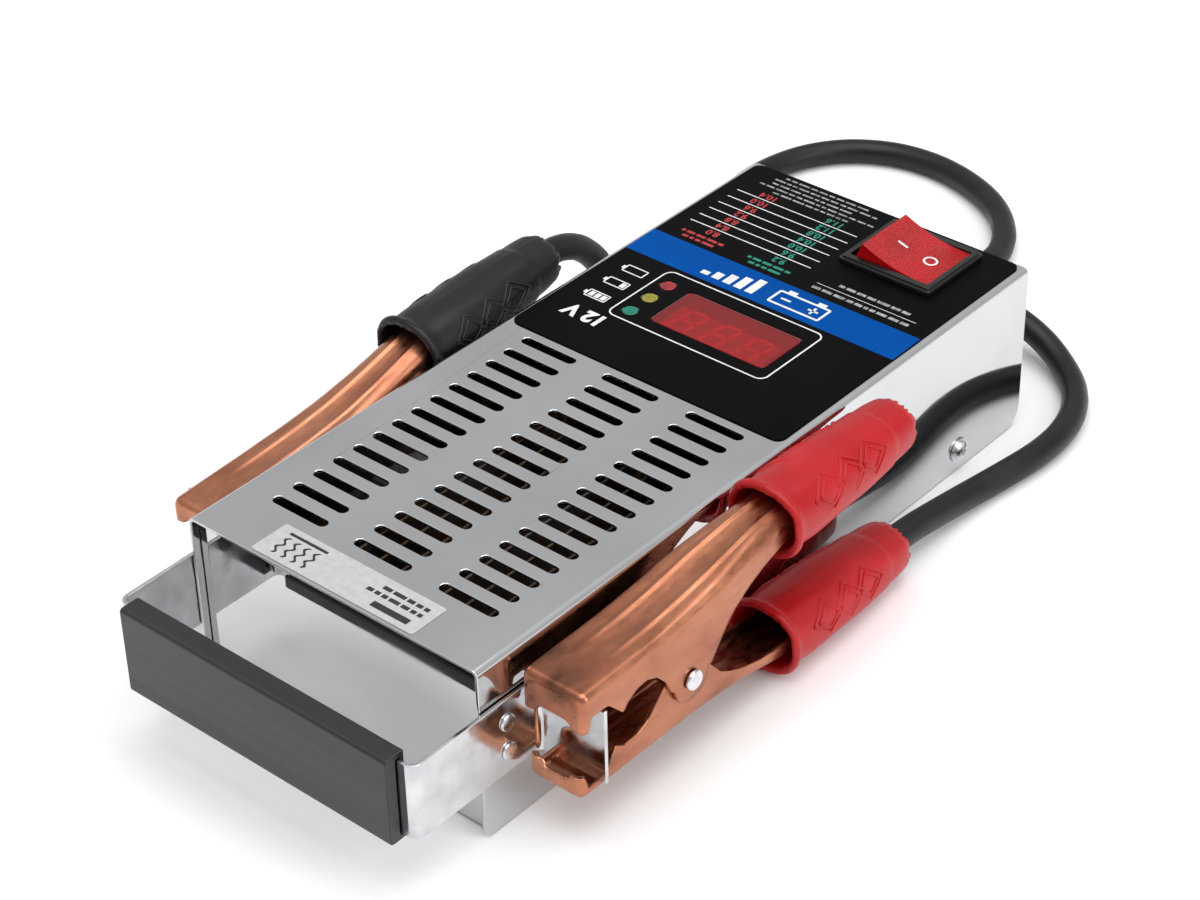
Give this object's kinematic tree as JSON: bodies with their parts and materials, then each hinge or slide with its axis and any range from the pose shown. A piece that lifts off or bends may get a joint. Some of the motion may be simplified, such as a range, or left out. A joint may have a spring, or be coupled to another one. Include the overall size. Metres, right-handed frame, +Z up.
{
  "type": "battery load tester",
  "caption": "Hand-held battery load tester: vented folded-metal housing, digital display face, rocker switch, strap handle and heavy leads with spring clips parked on the handle's ears.",
  "frame": {"origin": "middle of the housing's bottom face, on the surface the tester stands on", "axes": "+Z up, -Y towards the handle, +Y towards the end the leads leave from, +X towards the red clip"},
  "size_m": [0.1831, 0.3898, 0.0647],
  "materials": {
    "bright_sheet": "bright rolled sheet, faint fingerprints",
    "zinc_plate": "bright zinc plate",
    "copper_plate": "copper-plated steel, tarnished in use",
    "brass": "turned and milled",
    "resistance_strip": "heat-browned nickel-chrome strip",
    "ceramic": "unglazed",
    "circuit_board": "solder-masked laminate",
    "face_film": "fine-textured printed film",
    "silver_film": "silver self-adhesive film",
    "red_lens": "tinted acrylic",
    "black_plastic": "fine moulded grain",
    "red_plastic": "translucent moulded",
    "red_sleeve": "soft dip-moulded vinyl",
    "black_sleeve": "soft dip-moulded vinyl",
    "lead_jacket": "smooth rubber jacket",
    "lamp_red": "diffused epoxy",
    "lamp_yellow": "diffused epoxy",
    "lamp_green": "diffused epoxy"
  },
  "bodies": {
    "tester": {"top_cover": "bright_sheet", "base_tray": "bright_sheet", "side_screw_right_front": "zinc_plate", "side_screw_right_rear": "zinc_plate", "side_screw_left_front": "zinc_plate", "side_screw_left_rear": "zinc_plate", "face_overlay": "face_film", "caution_label": "silver_film", "display_window": "red_lens", "display_module": "black_plastic", "circuit_board": "circuit_board", "board_spacer_1": "brass", "board_spacer_2": "brass", "board_spacer_3": "brass", "board_spacer_4": "brass", "led_red": "lamp_red", "led_yellow": "lamp_yellow", "led_green": "lamp_green", "switch_housing": "black_plastic", "load_element": "resistance_strip", "element_bar_front": "ceramic", "element_bar_rear": "ceramic", "terminal_red": "brass", "terminal_black": "brass", "handle_strap": "zinc_plate", "handle_grip": "black_plastic", "strap_rivet_right_low": "zinc_plate", "strap_rivet_right_high": "zinc_plate", "strap_rivet_left_low": "zinc_plate", "strap_rivet_left_high": "zinc_plate", "red_clip_cable_half": "copper_plate", "red_clip_rivet": "zinc_plate", "red_clip_spring": "zinc_plate", "red_sleeve_cable": "red_sleeve", "black_clip_cable_half": "copper_plate", "black_clip_rivet": "zinc_plate", "black_clip_spring": "zinc_plate", "black_sleeve_cable": "black_sleeve", "grommet_red": "lead_jacket", "lead_red": "lead_jacket", "lead_tail_red": "lead_jacket", "grommet_black": "lead_jacket", "lead_black": "lead_jacket", "lead_tail_black": "lead_jacket"},
    "red_clip_lever": {"red_clip_lever_half": "copper_plate", "red_sleeve_lever": "red_sleeve"},
    "black_clip_lever": {"black_clip_lever_half": "copper_plate", "black_sleeve_lever": "black_sleeve"},
    "rocker": {"rocker_button": "red_plastic"}
  },
  "joints": [
    {"name": "rocker_press", "type": "hinge", "parent": "tester", "child": "rocker", "pos_m": [0.02215, 0.1045, 0.052], "axis": [0, -1, 0], "range_deg": [0, 24]},
    {"name": "red_clip_open", "type": "hinge", "parent": "tester", "child": "red_clip_lever", "pos_m": [0.0655, -0.067, 0.0308], "axis": [-1, 0, 0], "range_deg": [0, 14], "stiffness_Nm_per_rad": 4, "springref_deg": -20.05, "deforming": ["red_clip_spring"]},
    {"name": "black_clip_open", "type": "hinge", "parent": "tester", "child": "black_clip_lever", "pos_m": [-0.0655, -0.067, 0.03202], "axis": [1, 0, 0], "range_deg": [0, 14], "stiffness_Nm_per_rad": 4, "springref_deg": -20.05, "deforming": ["black_clip_spring"]}
  ]
}
